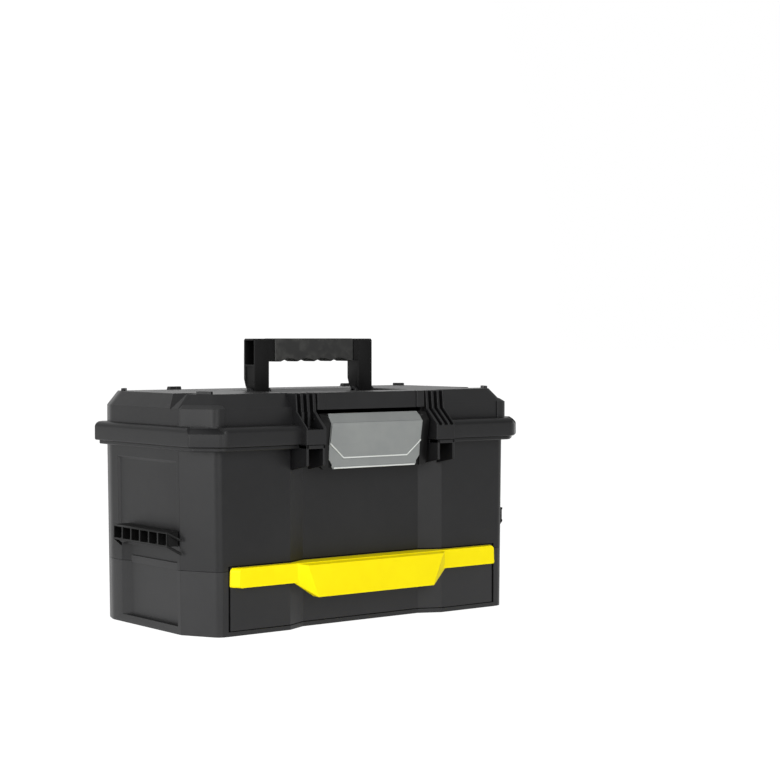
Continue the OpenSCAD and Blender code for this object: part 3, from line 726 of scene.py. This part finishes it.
def base_body():
    """The housing of the drawer: end walls with a deep panel, floor, back and strips in front."""
    plan = case_outline(recessed=True)
    base = loft("base_body", [(0, case_outline(0.4, recessed=True)), (0.4, plan),
                              (SEAM - 0.3, plan)])
    room = block("room", (-DRAWER_ROOM, FORE, 5), (DRAWER_ROOM, 110.7, 80))
    sill = block("sill_step", (-DRAWER_ROOM, FORE, 3), (DRAWER_ROOM, 110.7, 6))
    side_plan = [(191.7, -94.5), (200, -94.5), (216, -65.5), (216, 92), (210, 106), (191.7, 106)]
    sides = twin(prism, "side_room", side_plan, 3, 80)
    worked(base, cut=[room, sill, *sides, *foot_panel(9, 80)])
    liner = twin(block, "panel_liner", (216.2, -49.8, 69), (219, 55.8, 77))
    rail = twin(block, "drawer_rail", (150, -84, 1), (158, 104, 5.6))
    proud = 0.2  # how far the sill stands out from the base
    sill_plan = [(RECESS_IN, RECESS_FLOOR - proud, 2), (RECESS_OUT, FRONT - proud, 1.5),
                 (190, FRONT - proud, 0.5), (190, -80, 0.5)]
    front_sill = prism("front_sill", whole(sill_plan), 0, 5)
    dress_all((*liner, *rail, front_sill), base_black_painted_light, "case", 0.3)
    return dressed(drawn_in(base), base_black_painted_light, "case", 0.9)


# ---------------------------------------------------------------- latch plate

# The plate's front face seen from the side, as (y, z) from its foot up
PLATE_LINE = [(-109.8, 176), (-112, 205), (-115.8, 228), (-107.5, 237.8)]


def plate_layer(name, front, back, outline):
    """A layer of the plate, from front mm before its line to back mm behind it.

    The outline that it is cut to is seen from the front, as (x, z).
    """
    face = [(y - front, z) for y, z in PLATE_LINE]
    rear = [(y + back, z) for y, z in reversed(PLATE_LINE)]
    layer = prism(name, face + rear, -80, 80, "x")
    return kept_inside([layer], prism("plate_shape", outline, -140, -90, "y"))[0]


def latch_plate():
    """The silver plate: a thin sheet with cut lower corners, and a raised field with slanted ends.

    The sheet's lip stands a little proud of it; the lip, and thin strips along the slants and the
    foot of the field, are coloured a much lighter silver as painted highlights on those edges.
    """
    def part(name, front, back, outline, finish, edge_mm, steps=3):
        """One dressed layer of the plate."""
        layer = plate_layer("latch_plate_" + name, front, back, outline)
        return dressed(layer, finish, "latch", edge_mm, steps=steps)

    sheet_right = [(58, 176), (60, 178), (60, 181.5), (64.5, 187), (64.5, 233), (62, 240)]
    field_right = [(45, 188), (64.2, 204.5), (64.2, 227.6)]
    lip = [(57.5, 176.2), (57.5, 177.9), (-57.5, 177.9), (-57.5, 176.2)]
    slant = [(45, 187.6), (64.4, 204.1), (64.4, 205.9), (45, 189.2)]
    foot = [(-45.2, 187.6), (45.2, 187.6), (45.2, 189.1), (-45.2, 189.1)]
    sheet = part("sheet", 0, 1.9, both_sides(sheet_right), latch_silver, 0.5)
    part("field", 1.5, 0.5, both_sides(field_right), latch_silver, 1.3, steps=2)
    # The lip is a real small step; its lighter silver, and that of the strips below, is a painted
    # highlight
    part("lip", 1.1, 0.5, lip, silver_painted_highlight, 0.5)
    for side in (-1, 1):
        mirrored = [(side * x, z) for x, z in slant][::side]
        part("slant_highlight", 1.7, 0.3, mirrored, silver_painted_highlight, 0.3)
    part("foot_highlight", 1.7, 0.3, foot, silver_painted_highlight, 0.3)
    return sheet


# ---------------------------------------------------------------- drawer

FASCIA_HALF, FASCIA_FOOT, FASCIA_TOP = 186.3, 5.7, 74.8
BAND_FOOT, BAND_TOP = 53, 74.3


def drawer_front():
    """The drawer's front panel, set back in the middle like the case, and hollow inside."""
    def plan(t):
        """The panel's plan with t taken off all round."""
        return whole([
            (RECESS_IN - 0.45 * t, RECESS_FLOOR + t, 1.5), (RECESS_OUT - 0.45 * t, FRONT + t, 1.2),
            (FASCIA_HALF - t, FRONT + t, 0.6), (FASCIA_HALF - t, -80.5 + t / 6, 0.3)])

    panel = prism("drawer_front", plan(0), FASCIA_FOOT, FASCIA_TOP)
    hollow = prism("front_hollow", plan(3), 9, FASCIA_TOP - 3)
    return dressed(worked(panel, cut=[hollow]), base_black_painted_light, "drawer", 0.5, angle=20)


def drawer_pull():
    """The yellow pull: a band with rounded ends, its middle swelling forward and down.

    The swelling is hollow and open below, for the fingers.
    """
    swell_front, swell_back = -116, -105

    def swell(t, foot):
        """The corners of the swelling with t taken off it, reaching down to foot."""
        corners = []
        for side in (-1, 1):
            corners += [(side * (RECESS_OUT - t), y, z) for y in (swell_back, -104)
                        for z in (BAND_FOOT + t, BAND_TOP - t)]
            corners += [(side * (96 - t), y + t, 72 - t) for y in (swell_front, -115)]
            corners += [(side * (RECESS_IN - t), y, z) for z in (foot, foot + 1)
                        for y in (swell_front + t, swell_back)]
        return corners

    def face(y, half):
        """The outline of the band's front or back, with smaller corners below than above."""
        outline = whole([(half, BAND_FOOT, 2.4), (half - 0.8, BAND_TOP, 4.4)])
        return [(x, y, z) for x, z in outline]

    front, rear = face(-108, 181.2), face(FRONT, 187.6)
    count = len(front)
    band = mesh_piece("drawer_pull", front + rear, ring_sides(count) + ring_ends(count))
    back_plan = [(107.6, FRONT - 0.5, 0.1), (107.6, FRONT, 0.1), (RECESS_IN, RECESS_FLOOR, 0.3)]
    back = prism("band_back", whole(back_plan), BAND_FOOT, BAND_TOP)
    room = block("finger_room", (-78, -112, 30), (78, -102, 68.5))
    worked(band, [back, hull_piece("pull_swell", swell(0, 36))],
           [hull_piece("swell_hollow", swell(2.5, 34)), room])
    return dressed(band, pull_yellow, "drawer", 0.8, angle=20)


# ---------------------------------------------------------------- grips


def soft_grip():
    """The soft sleeve on the carrying bar, with four finger hollows along its underside."""
    half, underside, top = 56.4, 294.2, 321.2
    hollow_width, hollow_depth, points_a_side = 24, 3.1, 47

    def edge(x):
        """How high the underside is at x."""
        if abs(x) > 2 * hollow_width:
            return underside
        return underside + hollow_depth * abs(math.sin(math.radians(x * (180 / hollow_width))))

    along = [half * (i / points_a_side - 1) for i in range(2 * points_a_side + 1)]
    outline = [(x, edge(x)) for x in along] + [(half, top), (-half, top)]
    sleeve = prism("soft_grip", outline, 5.4, 29.0, "y")
    hole = block("sleeve_hole", (-70, 8.7, 299), (70, 25.7, 318))
    return dressed(worked(sleeve, cut=[hole]), grip_rubber, "handle", 1.3, angle=60)


def side_grip_fins():
    """Upright fins behind the rungs of both side grips."""
    first, apart, half_thick = -55, 19, 1.1
    for rung in range(7):
        y = first + apart * rung
        low, high = (227.2, y - half_thick, 97), (238.2, y + half_thick, 111.5)
        dress_all(twin(block, "side_grip_fin", low, high), trim_black, "case", 0.3)


# ---------------------------------------------------------------- putting the box together

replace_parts(lid_body(), "lid_shell")
corner_pads()
corner_tabs()
hinge_arms()
handle_ears()
latch_guards()
centre_panel()
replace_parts(tub_body(), "tub")
tub_fittings()
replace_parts(base_body(), "base_shell")
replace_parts(latch_plate(), "latch_plate")
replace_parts(drawer_front(), "drawer_front")
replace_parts(drawer_pull(), "drawer_pull")
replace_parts(soft_grip(), "handle_grip")
side_grip_fins()


# ---------------------------------------------------------------- carried-over pieces

NODE_FINISH = {
    "side_grip_left": trim_black, "side_grip_right": trim_black, "latch_keeper": trim_black,
    "latch_lever": trim_black, "latch_pin_left": trim_black, "latch_pin_right": trim_black,
    "handle_frame": trim_black, "tote_tray": tray_black, "tote_handle": pull_yellow,
    "drawer_tray": tray_black, "divider_left": tray_black, "divider_middle": tray_black,
    "divider_right": tray_black,
}
NODE_EDGE_MM, FRAME_EDGE_MM = 0.8, 1.5


def soften(piece, width_mm):
    """Joins the triangles of a piece's flat faces and rounds its edges."""
    weld = piece.modifiers.new("weld", "WELD")
    weld.merge_threshold = MM / 1000
    flat = piece.modifiers.new("flat", "DECIMATE")
    flat.decimate_type, flat.angle_limit = "DISSOLVE", math.radians(0.4)
    round_edges(piece, width_mm, angle=30, steps=3).harden_normals = True


# Nodes without a finish in the list are the steel pins and screws, and their edges stay crisp
for name, node_object in nodes.items():
    if node_object.hide_render:
        continue
    coat(node_object, NODE_FINISH.get(name, pin_steel))
    if name in NODE_FINISH:
        soften(node_object, FRAME_EDGE_MM if name == "handle_frame" else NODE_EDGE_MM)


# ---------------------------------------------------------------- floor, light and camera


def studio_floor():
    """A pale floor that the camera sees as nearly white, with the box's faint shadow on it."""
    half = 30.0  # metres
    mesh = bpy.data.meshes.new("studio_floor")
    corners = [(-half, -half, 0), (half, -half, 0), (half, half, 0), (-half, half, 0)]
    mesh.from_pydata(corners, [], [(0, 1, 2, 3)])
    f = Finish("studio_floor_white")
    f.surface({"Base Color": (0.85, 0.85, 0.85, 1), "Roughness": 0.9})
    white = f.node("ShaderNodeEmission", None, {"Color": (1, 1, 1, 1), "Strength": 1.14})
    matt = Wire(f, f.shader.outputs[0])
    share_of_white = f.ray_is("Camera", "Glossy") * 0.85
    shown = f.node("ShaderNodeMixShader", None, {0: share_of_white, 1: matt, 2: white})
    f.feed(f.tree.nodes["Material Output"].inputs["Surface"], shown)
    mesh.materials.append(f.material)
    linked("studio_floor", mesh)


def studio_world():
    """A room that lights the box from behind, most of all from the far right, and from above.

    The camera itself sees the room as plain white.
    """
    world = bpy.data.worlds.new("studio")
    bpy.context.scene.world = world
    world.use_nodes = True
    w = Nodes(world.node_tree)
    heading = w.node("ShaderNodeTexCoord", out="Generated")

    def glow(direction, fades_in, full):
        """0 away from a direction and 1 near it; the limits are cosines of the angle to it."""
        towards = w.node("ShaderNodeVectorMath", {"operation": "DOT_PRODUCT"},
                         {0: heading, 1: direction}, out="Value")
        return w.ramp(towards, fades_in, full)

    behind = glow((-0.25, 0.97, 0.0), 0.0, 0.8)
    far_right = glow((0.35, 0.94, 0.0), 0.75, 0.97)
    above = glow((0.0, 0.0, 1.0), 0.35, 0.9)
    light = behind * 0.2 + far_right * 0.65 + above * 0.3 + 0.27
    background = w.tree.nodes["Background"]
    w.feed(background.inputs["Color"], (1, 1, 1, 1))
    w.feed(background.inputs["Strength"], light.at_least(w.ray_is("Camera", "Transmission")))


def softbox(name, place, width, height, watts):
    """A soft lamp, in metres, that looks at the middle of the box."""
    lamp = bpy.data.lights.new(name, "AREA")
    lamp.shape, lamp.size, lamp.size_y, lamp.energy = "RECTANGLE", width, height, watts
    stand = linked(name, lamp)
    stand.location = place
    aim = Vector((0, 0, 0.15)) - Vector(place)
    stand.rotation_euler = aim.to_track_quat("-Z", "Y").to_euler()


def photo_camera():
    """The camera at the photograph's place, in metres and degrees."""
    tilt_down, turned = 1.64, -38.0
    camera = linked("photo_camera", bpy.data.cameras.new("photo_camera"))
    camera.location = (-1.289, -1.788, 0.323)
    camera.rotation_euler = (math.radians(90 - tilt_down), 0, math.radians(turned))
    camera.data.sensor_width, camera.data.lens = 36.0, 86.43
    camera.data.clip_end = 200
    return camera


studio_floor()
studio_world()
softbox("left_softbox", (-2.7, -0.45, 0.75), 2.2, 1.4, 40)
softbox("front_softbox", (-0.9, -2.8, 1.4), 1.6, 1.9, 55)
bpy.context.scene.camera = photo_camera()
bpy.context.scene.view_settings.view_transform = "Standard"
